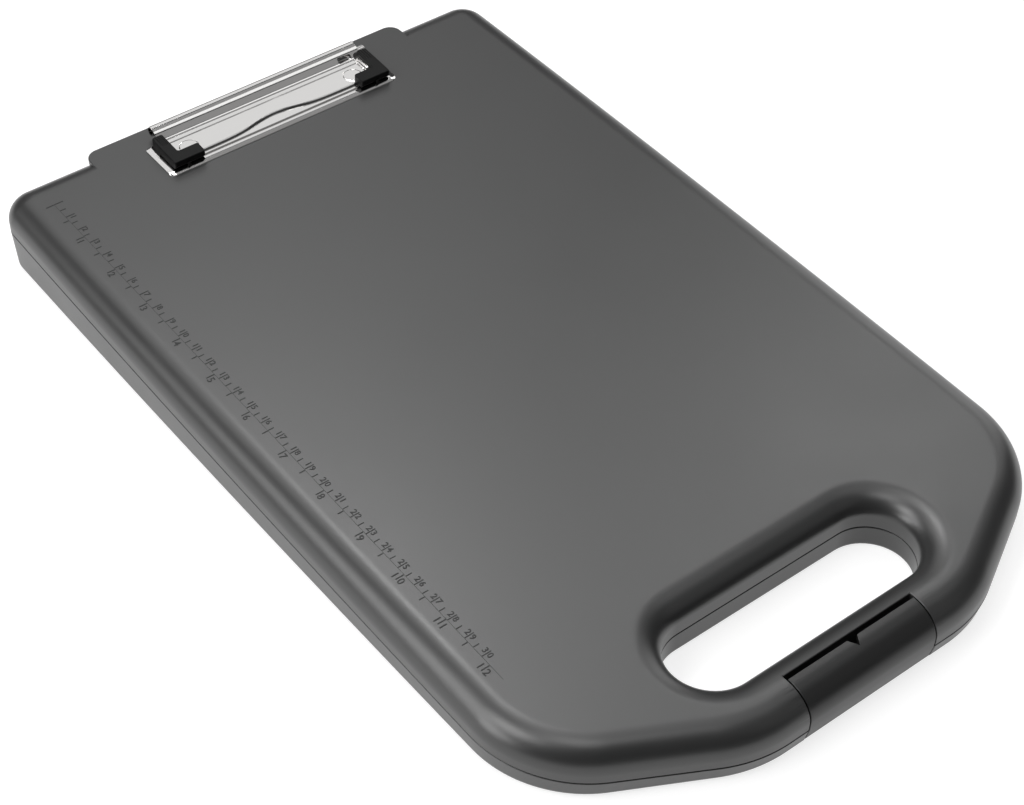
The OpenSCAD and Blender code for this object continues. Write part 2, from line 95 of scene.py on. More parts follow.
GRIP_FRONT_Y, GRIP_BACK_Y, GRIP_TOP_Z, GRIP_RISE = Y_FAR - 33.8, Y_FAR - 14.2, 5.45, 0.052


def bottom_z(y):
    """Board height of the flat underside: it rises evenly from the clip end to the handle."""
    return -REAR_DEPTH + SLOPE * (Y_FAR - y)


LATCH_Z = bottom_z(LATCH_Y) + FOOT_ROUND + 0.4
LIFT = -bottom_z(0) * math.cos(TILT)
Y_SHIFT = ((Y_FAR + TAB_REACH + Y_NEAR) * math.cos(TILT)
           + (TAB_T + EDGE_DROP) * math.sin(TILT)) / 2
ON_DESK = (Matrix.Diagonal((0.001, 0.001, 0.001, 1))
           @ Matrix.Translation((0, -Y_SHIFT, LIFT)) @ Matrix.Rotation(TILT, 4, "X"))


# Plane outlines
def unit(v):
    return v / np.linalg.norm(v)


def fillet(before, corner, after, radius, steps):
    """Points of the arc that rounds a corner: its centre lies on the corner's bisector, a radius
    from both sides, and it turns evenly from one tangent point to the other.
    """
    to_before, to_after = unit(before - corner), unit(after - corner)
    half = math.acos(np.clip(to_before @ to_after, -1, 1)) / 2
    centre = corner + unit(to_before + to_after) * radius / math.sin(half)
    start = corner + to_before * radius / math.tan(half) - centre
    end = corner + to_after * radius / math.tan(half) - centre
    first = math.atan2(start[1], start[0])
    turn = (math.atan2(end[1], end[0]) - first + 3 * math.pi) % (2 * math.pi) - math.pi
    angle = first + turn * np.linspace(0, 1, steps + 1)
    return centre + radius * np.stack([np.cos(angle), np.sin(angle)], 1)


CASE_CORNERS = np.array([[CASE_W / 2, Y_FAR], [-CASE_W / 2, Y_FAR], [-CASE_W / 2, Y_NEAR + TAPER_LEN],
                         [-BAR_HALF, Y_NEAR], [BAR_HALF, Y_NEAR], [CASE_W / 2, Y_NEAR + TAPER_LEN]])
CASE_RADII = [REAR_CORNER_R, REAR_CORNER_R, SHOULDER_R, BAR_R, BAR_R, SHOULDER_R]
CASE_STEPS = [20, 20, 32, 18, 18, 32]
SIDE_STEPS = 40


def rounded_corners(corners, radii, inset, steps):
    """The arcs that round a closed outline whose sides have all moved in by inset. Each corner
    moves along its bisector, and its radius shrinks by inset, or grows by it where the outline
    turns the other way.
    """
    n = len(corners)
    moved, bends = [], []
    for i, corner in enumerate(corners):
        back, ahead = corners[i - 1] - corner, corners[(i + 1) % n] - corner
        a, b = unit(back), unit(ahead)
        bend = 1 if ahead[0] * back[1] > ahead[1] * back[0] else -1
        moved.append(corner + bend * unit(a + b) * inset / math.sin(math.acos(a @ b) / 2))
        bends.append(bend)
    return [fillet(moved[i - 1], moved[i], moved[(i + 1) % n], radii[i] - bends[i] * inset, steps[i])
            for i in range(n)]


def case_outline(inset):
    """The case's plan outline moved in by inset: six straight sides with rounded corners, and x
    swollen by a parabola along the long sides.
    """
    arcs = rounded_corners(CASE_CORNERS, CASE_RADII, inset, CASE_STEPS)
    points = []
    for i, arc in enumerate(arcs):
        points.append(arc)
        gap = arcs[(i + 1) % len(arcs)][0] - arc[-1]
        if np.linalg.norm(gap) > CASE_LEN / 2:
            points.append(arc[-1] + gap * (np.arange(1, SIDE_STEPS) / SIDE_STEPS)[:, None])
    outline = np.concatenate(points)
    along = (outline[:, 1] - TAPER_LEN / 2) / ((CASE_LEN - TAPER_LEN) / 2)
    outline[:, 0] *= 1 + 2 * SIDE_BOW / CASE_W * np.clip(1 - along**2, 0, None)
    return outline


def hole_outline(grow, steps=30):
    """Plan outline of the finger hole grown by grow: two half circles joined by straight sides."""
    angle = np.linspace(-math.pi / 2, math.pi / 2, steps + 1)
    angle = np.concatenate([angle, angle + math.pi])
    side = np.where(np.arange(len(angle)) <= steps, 1, -1) * (HOLE_HALF_LEN - HOLE_HALF_W)
    radius = HOLE_HALF_W + grow
    return np.stack([side + radius * np.cos(angle), HOLE_Y + radius * np.sin(angle)], 1)


def flat_ring(outline, z):
    return np.column_stack([outline, np.full(len(outline), float(z))])


def round_ring(x, y, radius, z, steps=40):
    """A level circle round a vertical axis."""
    angle = 2 * math.pi * np.arange(steps) / steps
    return flat_ring(np.stack([x + radius * np.cos(angle), y + radius * np.sin(angle)], 1), z)


def low_ring(outline, height):
    """A plan outline laid at a height over the tilted underside."""
    return np.column_stack([outline, bottom_z(outline[:, 1]) + height])


def quarter(steps, first=0):
    """(angle sine, angle cosine) pairs of a quarter turn in even steps."""
    angle = np.linspace(0, math.pi / 2, steps + 1)[first:]
    return list(zip(np.sin(angle), np.cos(angle)))


# Mesh making
def put(name, points, faces):
    """A mesh object from arrays of points and faces, turned so that its faces point outwards: the
    signed volume is the sum of the fans' triple products.
    """
    mesh = bpy.data.meshes.new(name)
    mesh.from_pydata(points.tolist(), [], faces)
    mesh.update()
    mesh.calc_loop_triangles()
    tri = np.empty(len(mesh.loop_triangles) * 3, int)
    mesh.loop_triangles.foreach_get("vertices", tri)
    a, b, c = points[tri.reshape(-1, 3)].transpose(1, 0, 2)
    if np.einsum("ij,ij->", a, np.cross(b, c)) < 0:
        mesh.flip_normals()
    obj = bpy.data.objects.new(name, mesh)
    bpy.context.scene.collection.objects.link(obj)
    return obj


def loft(rings, name="solid", closed=False):
    """Skin over a stack of equal rings: point i of each ring joins point i of the next. The two end
    rings are filled, or joined to each other when closed.
    """
    rings = np.asarray(rings, float)
    m, n = rings.shape[:2]
    rows = m if closed else m - 1
    k, i = np.meshgrid(np.arange(rows), np.arange(n), indexing="ij")
    here, there = k * n, (k + 1) % m * n
    right = (i + 1) % n
    quads = np.stack([here + i, there + i, there + right, here + right], -1).reshape(-1, 4).tolist()
    if not closed:
        quads += [list(range(n)), list(range((m - 1) * n, m * n))[::-1]]
    return put(name, rings.reshape(-1, 3), quads)


def prism(x0, x1, outline, name="solid"):
    """A closed outline of board y and z carried along X from x0 to x1."""
    outline = np.asarray(outline, float)
    return loft([np.column_stack([np.full(len(outline), x), outline]) for x in (x0, x1)], name)


def block(x0, x1, y0, y1, z0, z1):
    return prism(x0, x1, [[y0, z0], [y1, z0], [y1, z1], [y0, z1]])


def rod(radius, y, z, x0, x1, steps=40, edge=0.0):
    """A round bar along X: circles whose radius drops by edge at both ends."""
    angle = 2 * math.pi * np.arange(steps) / steps
    rings = [(x0, radius - edge), (x0 + edge, radius), (x1 - edge, radius), (x1, radius - edge)]
    if not edge:
        rings = rings[1:3]
    return loft([np.column_stack([np.full(steps, x), y + r * np.cos(angle), z + r * np.sin(angle)])
                 for x, r in rings])


def tube(line, radius, sides=12, name="solid"):
    """A round wire along a line of points: each ring stands square to the line, turned so that it
    never twists.
    """
    line = np.asarray(line, float)
    along = np.gradient(line, axis=0)
    along /= np.linalg.norm(along, axis=1)[:, None]
    side = np.cross(along, [0.0, 0.0, 1.0])
    flat = np.linalg.norm(side, axis=1) < 0.05
    side[flat] = np.cross(along[flat], [1.0, 0.0, 0.0])
    side /= np.linalg.norm(side, axis=1)[:, None]
    up = np.cross(side, along)
    angle = 2 * math.pi * np.arange(sides) / sides
    rings = (line[:, None] + radius * (np.cos(angle)[None, :, None] * side[:, None]
                                       + np.sin(angle)[None, :, None] * up[:, None]))
    return loft(rings, name)


def combine(name, base, *steps):
    """Solid arithmetic: base, then each (operation, solids) in turn, worked out once and kept as
    one mesh.
    """
    used = [base]
    for operation, solids in steps:
        for solid in solids:
            modifier = base.modifiers.new("step", "BOOLEAN")
            modifier.operation, modifier.solver, modifier.object = operation, "MANIFOLD", solid
            used.append(solid)
    depsgraph = bpy.context.evaluated_depsgraph_get()
    mesh = bpy.data.meshes.new_from_object(base.evaluated_get(depsgraph))
    for solid in used:
        bpy.data.objects.remove(solid)
    result = bpy.data.objects.new(name, mesh)
    bpy.context.scene.collection.objects.link(result)
    return result


def mirrored(make):
    """The solid that make() gives, and its mirror image across X = 0."""
    pair = [make(), make()]
    pair[1].data.transform(Matrix.Diagonal((-1, 1, 1, 1)))
    pair[1].data.flip_normals()
    return pair


def finish_piece(obj, body, nodes, material, sharp=35.0):
    """Moves a finished mesh from the board frame onto the desk, sets its normals by face area with
    hard edges kept, hooks it to its body and hides its CAD nodes.
    """
    bpy.context.view_layer.update()
    mesh = obj.data
    mesh.transform(ON_DESK)
    mesh.materials.clear()
    mesh.materials.append(material)
    mesh.shade_smooth()
    mesh.set_sharp_from_angle(angle=math.radians(sharp))
    m = obj.modifiers.new("normals", "WEIGHTED_NORMAL")
    m.mode, m.weight, m.keep_sharp = "FACE_AREA", 100, True
    bake_modifiers(obj)
    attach(obj, body)
    if nodes:
        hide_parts(*nodes)
    return obj


def bake_modifiers(obj):
    """Replaces the mesh by its evaluated form and drops the modifiers."""
    bpy.context.view_layer.update()
    depsgraph = bpy.context.evaluated_depsgraph_get()
    old = obj.data
    obj.data = bpy.data.meshes.new_from_object(obj.evaluated_get(depsgraph))
    obj.modifiers.clear()
    bpy.data.meshes.remove(old)


# Materials
class Value:
    """A socket in shader maths: +, - and * on it add Math nodes."""

    def __init__(self, finish, socket):
        self.finish, self.socket = finish, socket

    def __add__(self, other):
        return self.finish.maths("ADD", self, other)

    def __sub__(self, other):
        return self.finish.maths("SUBTRACT", self, other)

    def __rsub__(self, other):
        return self.finish.maths("SUBTRACT", other, self)

    def __mul__(self, other):
        return self.finish.maths("MULTIPLY", self, other)

    __radd__, __rmul__ = __add__, __mul__


class Finish:
    """One material and the nodes that it is made of."""

    def __init__(self, name):
        self.material = bpy.data.materials.new(name)
        self.material.use_nodes = True
        self.tree = self.material.node_tree
        self.shader = self.tree.nodes["Principled BSDF"]
        self.spot = None

    def node(self, kind, settings=None, inputs=None, output=0):
        """Adds a node: its settings first, then a value or a link for each named socket."""
        made = self.tree.nodes.new("ShaderNode" + kind)
        for key, value in (settings or {}).items():
            setattr(made, key, value)
        for key, value in (inputs or {}).items():
            self.set(made.inputs[key], value)
        return Value(self, made.outputs[output])

    def set(self, socket, value):
        if isinstance(value, Value):
            self.tree.links.new(value.socket, socket)
        else:
            socket.default_value = value

    def maths(self, operation, a, b):
        return self.node("Math", {"operation": operation}, {0: a, 1: b})

    def place(self):
        """The piece's own Object coordinates, in metres."""
        if self.spot is None:
            self.spot = self.node("TexCoord", output="Object")
        return self.spot

    def noise(self, size, detail=2.0, rough=0.5):
        """Noise from 0 to 1 whose lumps are about size metres across."""
        return self.node("TexNoise", None, {"Vector": self.place(), "Scale": 1.0 / size,
                                            "Detail": detail, "Roughness": rough})

    def mix(self, factor, a, b):
        return self.node("Mix", {"data_type": "RGBA"}, {0: factor, 6: a, 7: b}, output=2)

    def bump(self, height, strength, distance):
        return self.node("Bump", None, {"Height": height, "Strength": strength, "Distance": distance})

    def done(self, **sockets):
        for key, value in sockets.items():
            self.set(self.shader.inputs[key.replace("_", " ")], value)
        return self.material


def grey(level, warm=0.0):
    """A grey of that linear level, a little warmer or cooler."""
    return (level * (1 + warm), level, level * (1 - warm), 1.0)


def moulded_plastic(name, level, rough, grain, ior=1.5):
    """Satin moulded plastic: a fine spark-eroded grain, slow changes of tone, and a roughness that
    wanders where hands have polished it.
    """
    f = Finish(name)
    slow = f.noise(0.09, 3.0)
    fine = f.noise(0.0006, 2.0, 0.6)
    tone = f.mix(slow, grey(level * 0.94, -0.01), grey(level * 1.06, 0.0))
    handled = f.noise(0.035, 4.0, 0.6)
    return f.done(Base_Color=f.mix(fine * 0.3, tone, grey(level * 0.8)),
                  Roughness=rough - 0.04 + handled * 0.08,
                  Normal=f.bump(fine, grain, 0.00004), IOR=ior)


def plated_steel(name, level, rough, warm=0.012):
    """Bright nickel plate: faint rolling lines along X, small changes of roughness and a soft
    waviness from pressing.
    """
    f = Finish(name)
    stretched = f.node("Mapping", {"vector_type": "POINT"},
                       {"Vector": f.place(), "Scale": (0.04, 1.0, 1.0)})
    lines = f.node("TexNoise", None, {"Vector": stretched, "Scale": 4000.0, "Detail": 3.0})
    wave = f.noise(0.012, 1.0)
    return f.done(Base_Color=f.mix(lines, grey(level * 0.96, warm), grey(level, warm)),
                  Roughness=rough + lines * 0.05,
                  Normal=f.bump(wave, 0.25, 0.0004), Metallic=1.0)


case_plastic = moulded_plastic("case_charcoal", 0.023, 0.36, 0.2, 1.7)
# The latch plastic is darker than the case: partly its own tone, and partly painted shade that offsets
# the light the floor throws on its front.
latch_plastic_and_painted_shade = moulded_plastic("latch_charcoal_and_painted_shade", 0.009, 0.38, 0.2, 1.55)
grip_plastic = moulded_plastic("grip_black", 0.005, 0.5, 0.1, 1.25)
# The ruler marks' darker tone is painted shade: it stands in for the shade and dark reflections that
# moulded marks show.
mark_plastic_painted_shade = moulded_plastic("ruler_marks_painted_shade", 0.010, 0.55, 0.1)
clip_chrome = plated_steel("clip_nickel", 0.80, 0.06)
pin_steel = plated_steel("pin_steel", 0.35, 0.35)
spring_steel = plated_steel("spring_steel", 0.3, 0.4)
rivet_steel = plated_steel("rivet_nickel", 0.70, 0.12)


# The shells
def lid_outer():
    """The lid as one solid: the flat, a quarter ellipse at the edge, the skirt and a small rounding
    at its lip.
    """
    rings = [flat_ring(case_outline(EDGE_IN + 0.6), 0)]
    rings += [flat_ring(case_outline(EDGE_IN * (1 - s)), -EDGE_DROP * (1 - c)) for s, c in quarter(24)]
    rings += [flat_ring(case_outline(LIP_R * (1 - c)), LID_Z + LIP_R * (1 - s)) for s, c in quarter(3)]
    return loft(rings)


def lid_inner():
    """The hollow under the lid: the same ellipse moved in by the wall."""
    rings = [flat_ring(case_outline(EDGE_IN + 0.6), -WALL)]
    rings += [flat_ring(case_outline(WALL + (EDGE_IN - WALL) * (1 - s)),
                        -WALL - (EDGE_DROP - WALL) * (1 - c)) for s, c in quarter(10)]
    rings += [flat_ring(case_outline(WALL), LID_Z - 1)]
    return loft(rings)


def hole_void():
    """The finger hole from above the lid to below the tray: a quarter ellipse flare, a straight
    wall with a small groove at the seam, and a rounded foot.
    """
    rings = [flat_ring(hole_outline(FLARE_OUT + 1), 1), flat_ring(hole_outline(FLARE_OUT + 0.4), 0.004)]
    rings += [flat_ring(hole_outline(FLARE_OUT * (1 - s)), -FLARE_DROP * (1 - c))
              for s, c in quarter(24, 1)]
    rings += [flat_ring(hole_outline(LIP_R * (1 - c)), LID_Z + LIP_R * (1 - s)) for s, c in quarter(3)]
    rings += [flat_ring(hole_outline(LIP_R * (1 - s)), TRAY_Z - LIP_R * (1 - c)) for s, c in quarter(3)]
    rings += [low_ring(hole_outline(FOOT_LIP * (1 - c)), FOOT_LIP * (1 - s))
              for s, c in quarter(8)[:-1]]
    rings += [low_ring(hole_outline(FOOT_LIP + 0.4), -0.004), low_ring(hole_outline(FOOT_LIP + 1), -1)]
    return loft(rings)


def hole_liner(low):
    """The wall that lines the hole inside the case: the flare moved out by the wall thickness, down
    to a height over the underside.
    """
    rings = [flat_ring(hole_outline(FLARE_OUT), -WALL + 1)]
    rings += [flat_ring(hole_outline(WALL + (FLARE_OUT - WALL) * (1 - s)),
                        -WALL - (FLARE_DROP - WALL) * (1 - c)) for s, c in quarter(10)]
    rings += [low_ring(hole_outline(WALL), low)]
    return loft(rings)


def tray_outer():
    """The tray as one solid: a rounded lip, a wall that draws in evenly, and a quarter circle to
    the flat underside.
    """
    rings = [flat_ring(case_outline(LIP_R * (1 - s)), TRAY_Z - LIP_R * (1 - c)) for s, c in quarter(3)]
    rings += [low_ring(case_outline(TRAY_DRAFT + FOOT_ROUND * (1 - c)), FOOT_ROUND * (1 - s))
              for s, c in quarter(12)]
    rings += [low_ring(case_outline(TRAY_DRAFT + FOOT_ROUND + 0.6), 0)]
    return loft(rings)


def tray_inner():
    """The hollow of the tray, with a rounded inner bottom edge."""
    rings = [flat_ring(case_outline(WALL), TRAY_Z + 1)]
    rings += [low_ring(case_outline(TRAY_DRAFT + WALL + 2 * (1 - c)), WALL + 2 * (1 - s))
              for s, c in quarter(6)]
    return loft(rings)


def bar_line(inset, steps=24):
    """The grip bar's outer section from the slot over the rounding to the underside, each point
    moved in by inset along its normal.
    """
    line = [[SLOT_FAR_Y + 0.6, -0.31], [SLOT_FAR_Y, -0.21], [SLOT_NEAR_Y, -0.01],
            [Y_NEAR + EDGE_IN + 0.6, 0]]
    line += [[Y_NEAR + EDGE_IN * (1 - s), -EDGE_DROP * (1 - c)] for s, c in quarter(steps)]
    foot = bottom_z(Y_NEAR)
    line += [[Y_NEAR, -SEAM_Z]]
    line += [[Y_NEAR + TRAY_DRAFT + FOOT_ROUND * (1 - c), foot + FOOT_ROUND * (1 - s)]
             for s, c in quarter(8)]
    line += [[TRAY_BAY_Y + 0.6, bottom_z(TRAY_BAY_Y)]]
    line = np.array(line)
    along = np.gradient(line, axis=0)
    along /= np.linalg.norm(along, axis=1)[:, None]
    return line + inset * np.stack([-along[:, 1], along[:, 0]], 1)


def bay_edge(side):
    """Cutter that rounds the bay's end edge: the space outside the bar's section, moved in step by
    step over a small quarter circle as X nears the bay.
    """
    outside = [[TRAY_BAY_Y + 0.6, -45], [Y_NEAR - 8, -45], [Y_NEAR - 8, 5], [SLOT_FAR_Y + 0.6, 5]]
    steps = [(BAY_HALF + LIP_R, -0.03)]
    steps += [(BAY_HALF + LIP_R * (1 - s), LIP_R * (1 - c)) for s, c in quarter(4, 1)]
    steps += [(BAY_HALF - 0.2, LIP_R)]
    rings = []
    for x, inset in steps:
        outline = np.concatenate([bar_line(inset), outside])
        rings.append(np.column_stack([np.full(len(outline), side * x), outline]))
    return loft(rings)


def tab_solid():
    """The flat hinge tab: a rounded rectangle whose top edge has a small quarter circle."""
    half, end = TAB_W / 2, Y_FAR + TAB_REACH
    corners = np.array([[half, end], [-half, end], [-half, end - TAB_LAP], [half, end - TAB_LAP]])

    def outline(inset):
        c = corners + inset * np.array([[-1, -1], [1, -1], [1, 1], [-1, 1]])
        return np.concatenate([fillet(c[3], c[0], c[1], TAB_CORNER_R - inset, 12),
                               fillet(c[0], c[1], c[2], TAB_CORNER_R - inset, 12), c[2:]])
    rings = [flat_ring(outline(0.45 * (1 - s)), -0.45 * (1 - c)) for s, c in quarter(4)]
    rings += [flat_ring(outline(0), -TAB_T)]
    return loft(rings)


KNUCKLE_X0, KNUCKLE_X1 = HINGE_X - POST_W / 2, HINGE_X + POST_W / 2
HINGE_X0, HINGE_X1 = KNUCKLE_X0 - PART_GAP - EAR_W, KNUCKLE_X1 + PART_GAP + EAR_W
BAY_LID = BAY_HALF + BAY_WALL


def make_lid():
    """The lid: the outer solid less its hollow, with the hinge tab and its ears, cut by the finger
    hole, the latch bay and the pins' bores.
    """
    void = combine("void", lid_inner(), ("DIFFERENCE", [
        hole_liner(1), block(-BAY_LID, BAY_LID, Y_NEAR - 5, SLOT_FAR_Y + BAY_WALL, -30, 3)]))
    bay = combine("bay", block(-BAY_HALF, BAY_HALF, Y_NEAR - 5, SLOT_FAR_Y, LID_Z - 1, 1),
                  ("DIFFERENCE", [block(-HOOK_HALF - 2, HOOK_HALF + 2, SLOT_FAR_Y - 1, SLOT_FAR_Y + 1,
                                        LEDGE_TOP_Z - 2, LEDGE_TOP_Z)]))
    slot_edge = prism(-BAY_HALF, BAY_HALF, [[SLOT_FAR_Y - 0.5, -0.9], [SLOT_FAR_Y, -0.65],
                                            [SLOT_FAR_Y + 0.08, -0.42], [SLOT_FAR_Y + 0.35, -0.27],
                                            [SLOT_FAR_Y + 0.5, 1], [SLOT_FAR_Y - 0.5, 1]])
    notch = [("DIFFERENCE", mirrored(lambda: block(
        KNUCKLE_X0 - PART_GAP, KNUCKLE_X1 + PART_GAP, HINGE_Y - KNUCKLE_R - PART_GAP,
        HINGE_Y + 20, LID_Z - 1, -TAB_T + 0.2)))]
    ears = []
    for x0 in (HINGE_X0, KNUCKLE_X1 + PART_GAP):
        ears += mirrored(lambda: rod(KNUCKLE_R, HINGE_Y, HINGE_Z, x0, x0 + EAR_W, 36))
        ears += mirrored(lambda: block(x0, x0 + EAR_W, HINGE_Y - KNUCKLE_R, HINGE_Y + KNUCKLE_R,
                                       HINGE_Z, -TAB_T / 2))
    bores = mirrored(lambda: rod(PIN_R + RUN_GAP, HINGE_Y, HINGE_Z, HINGE_X0 - 1, HINGE_X1 + 1, 32))
    return combine("lid_skin", lid_outer(), ("DIFFERENCE", [void]), *notch,
                   ("UNION", [tab_solid()] + ears),
                   ("DIFFERENCE", [hole_void(), bay, slot_edge, bay_edge(1), bay_edge(-1)] + bores))


def make_tray():
    """The tray: the outer solid less its hollow, with a rib across it and two hinge posts, cut by
    the finger hole and the latch bay.
    """
    stop_y = HOLE_Y + HOLE_HALF_W + 8
    rib = combine("rib", block(-CASE_W, CASE_W, stop_y, stop_y + 1.8, -50, 0), ("INTERSECT", [
        loft([low_ring(case_outline(0), 7), low_ring(case_outline(0), -1)])]))
    void = combine("void", tray_inner(), ("DIFFERENCE", [
        hole_liner(-1), rib,
        block(-BAY_LID, BAY_LID, Y_NEAR - 5, TRAY_BAY_Y + BAY_WALL, -45, 3)]))
    posts = []
    posts += mirrored(lambda: rod(KNUCKLE_R, HINGE_Y, HINGE_Z, KNUCKLE_X0, KNUCKLE_X1, 36))
    posts += mirrored(lambda: block(KNUCKLE_X0, KNUCKLE_X1, HINGE_Y - KNUCKLE_R, HINGE_Y + 0.5,
                                    TRAY_Z - 10, HINGE_Z))
    return combine("tray_shell", tray_outer(), ("DIFFERENCE", [void]), ("UNION", posts),
                   ("DIFFERENCE", [hole_void(),
                                   block(-BAY_HALF, BAY_HALF, Y_NEAR - 5, TRAY_BAY_Y, -45, 1),
                                   bay_edge(1), bay_edge(-1)]))


lid = make_lid()
tray = make_tray()
finish_piece(lid, "lid", ["lid_shell"], case_plastic)
finish_piece(tray, "tray", ["base_tray"], case_plastic)


# The latch
def latch_section(inset):
    """The latch's wall as a closed line: the bar's own section outside, and the same section moved
    in by the wall inside.
    """
    def line(d):
        pts = [[SLOT_NEAR_Y, -d]]
        pts += [[Y_NEAR + d + (EDGE_IN - d) * (1 - s), -d - (EDGE_DROP - d) * (1 - c)]
                for s, c in quarter(24)]
        return pts + [[Y_NEAR + d, -SEAM_Z], [LATCH_Y - FOOT_ROUND + d, LATCH_Z]]
    outer, inner = np.array(line(inset)), np.array(line(LATCH_T))
    outer[0] += [-inset, 0]
    return np.concatenate([outer, inner[::-1]])


def make_latch():
    """The latch: its curved wall with rounded ends, four gussets, a barrel round its pin and a
    hook, cut by the pin's bore and a V mark.
    """
    half = LATCH_W / 2
    steps = [(-half + LIP_R * (1 - c), LIP_R * (1 - s)) for s, c in quarter(4)]
    steps += [(-x, inset) for x, inset in reversed(steps)]
    body = loft([np.column_stack([np.full(len(section), x), section])
                 for x, inset in steps for section in [latch_section(inset)]])
    profile = latch_section(0.1)[:27].tolist() + [
        [LATCH_Y + FOOT_ROUND, LATCH_Z], [LATCH_Y + FOOT_ROUND - 0.2, TRAY_Z + 1],
        [SLOT_NEAR_Y - 1.4, -LATCH_T - 1], [SLOT_NEAR_Y - 0.1, -LATCH_T]]
    gussets = [prism(x, x + GUSSET_T, profile)
               for x in (-half + 0.3, -HOOK_HALF - GUSSET_T, HOOK_HALF, half - GUSSET_T - 0.3)]
    barrel = rod(FOOT_ROUND, LATCH_Y, LATCH_Z, -half, half, 64, 0.3)
    hook = block(-HOOK_HALF, HOOK_HALF, Y_NEAR + LATCH_T, SLOT_FAR_Y - 1.3,
                 LEDGE_TOP_Z + 0.6, LEDGE_TOP_Z + 2.4)
    bore = rod(LATCH_PIN_R + RUN_GAP, LATCH_Y, LATCH_Z, -LATCH_W, LATCH_W, 32)
    mark = loft([np.array([[-MARK_HALF, SLOT_NEAR_Y + 1, z], [0, SLOT_NEAR_Y - MARK_LEN, z],
                           [MARK_HALF, SLOT_NEAR_Y + 1, z]]) for z in (1, -3.6)])
    return combine("latch_flap", body, ("UNION", gussets + [barrel, hook]),
                   ("DIFFERENCE", [bore, mark]))


# The latch's darker colour is partly painted shade.
finish_piece(make_latch(), "latch", ["latch_cover"], latch_plastic_and_painted_shade)


# The clip
def rounded_line(points, radii, steps=6):
    """An open line whose inner corners are rounded, each with its own radius."""
    points = np.asarray(points, float)
    parts = [points[:1]]
    for i in range(1, len(points) - 1):
        parts.append(fillet(points[i - 1], points[i], points[i + 1], radii[i - 1], steps))
    return np.concatenate(parts + [points[-1:]])


def strip(line, thickness):
    """The closed outline of a sheet of that thickness along an open line: the line moved to each
    side along its normal.
    """
    along = np.gradient(line, axis=0)
    along /= np.linalg.norm(along, axis=1)[:, None]
    side = np.stack([-along[:, 1], along[:, 0]], 1) * thickness / 2
    return np.concatenate([line + side, (line - side)[::-1]])


def jaw_line(x=GRIP_HALF):
    """Section of the jaw at x: a round curl at the back, a roll down to a 45 degree slope, a hollow
    bend onto a ledge, a small step to the flat panel, and a larger step to the front lip. That
    front step moves back by a bell curve of x.
    """
    angle = np.radians(np.linspace(-190, 80, 46))
    curl = np.stack([CURL_Y + CURL_R * np.cos(angle), CURL_Z + CURL_R * np.sin(angle)], 1)
    angle = np.radians(np.linspace(90, 135, 20))
    roll = np.stack([CURL_Y + ROLL_R * np.cos(angle),
                     CURL_Z + CURL_R - ROLL_R + ROLL_R * np.sin(angle)], 1)
    foot = roll[-1] - (roll[-1][1] - LEDGE_Z)
    step = STEP_Y + WAVE_RISE * math.exp(-((x - WAVE_X) / WAVE_HALF) ** 2)
    rest = rounded_line([roll[-1], [foot[0], LEDGE_Z], [LEDGE_END_Y, LEDGE_Z],
                         [PANEL_REAR_Y, JAW_PANEL_Z], [step + STEP_HALF, JAW_PANEL_Z],
                         [step - STEP_HALF, LIP_Z], [LIP_END_Y, LIP_Z]],
                        [SLOPE_R, STEP_R, STEP_R, FRONT_STEP_R, FRONT_STEP_R])
    return np.concatenate([curl, roll[:-1], rest])


def jaw_sheet(thickness):
    """The jaw's sheet: its section carried along X, with the front step's bell curve in it."""
    return loft([np.column_stack([np.full(len(line) * 2, x), strip(line, thickness)])
                 for x in np.linspace(-JAW_W / 2, JAW_W / 2, 109) for line in [jaw_line(x)]])


def make_jaw():
    """The jaw's sheet with its two lugs, two low discs, and the ribs, slot and knob at its right
    end.
    """
    lug = [[PIVOT_Y - LUG_R, PIVOT_Z], [PIVOT_Y + LUG_R, PIVOT_Z],
           [PIVOT_Y + LUG_R, LUG_REAR_TOP], [PIVOT_Y - LUG_R, LUG_FRONT_TOP]]
    lugs = mirrored(lambda: prism(LUG_X, LUG_X + LUG_T, lug))
    lugs += mirrored(lambda: rod(LUG_R, PIVOT_Y, PIVOT_Z, LUG_X, LUG_X + LUG_T))
    panel_top = JAW_PANEL_Z + JAW_T / 2
    discs = [loft([round_ring(x, y, DISC_R - inset, panel_top + rise, 56) for inset, rise in
                   ((0, -0.3), (0, -0.02), (0.1, 0.08), (0.3, 0.16), (0.6, 0.21), (1.0, 0.23))])
             for x, y in DISC_SPOTS]
    ribs = [tube([[x, y, z - 0.4], [x, y + 0.5, z], [x, y + RIB_LEN, z],
                  [x, y + RIB_LEN + 0.6, z - 0.4]], RIB_R, 14) for x, y, z in RIB_SPOTS]
    ribs.append(block(50.8, 51.3, 178.4, 186.6, JAW_PANEL_Z, 4.4))
    arcs = rounded_corners(np.array(SLOT_CORNERS), [0.7, 0.8, 0.8, 0.7], 0, [6] * 4)
    slot = loft([flat_ring(np.concatenate(arcs), z) for z in (2.0, 8.0)])
    knob = rod(KNOB_R, KNOB_Y, KNOB_Z, JAW_W / 2 - 0.5, KNOB_END, 40, 0.6)
    bore = rod(PIVOT_R + RUN_GAP, PIVOT_Y, PIVOT_Z, -PLATE_W, PLATE_W, 32)
    return combine("jaw_plate", jaw_sheet(JAW_T), ("UNION", lugs + discs + ribs + [knob]),
                   ("DIFFERENCE", [bore, slot]))


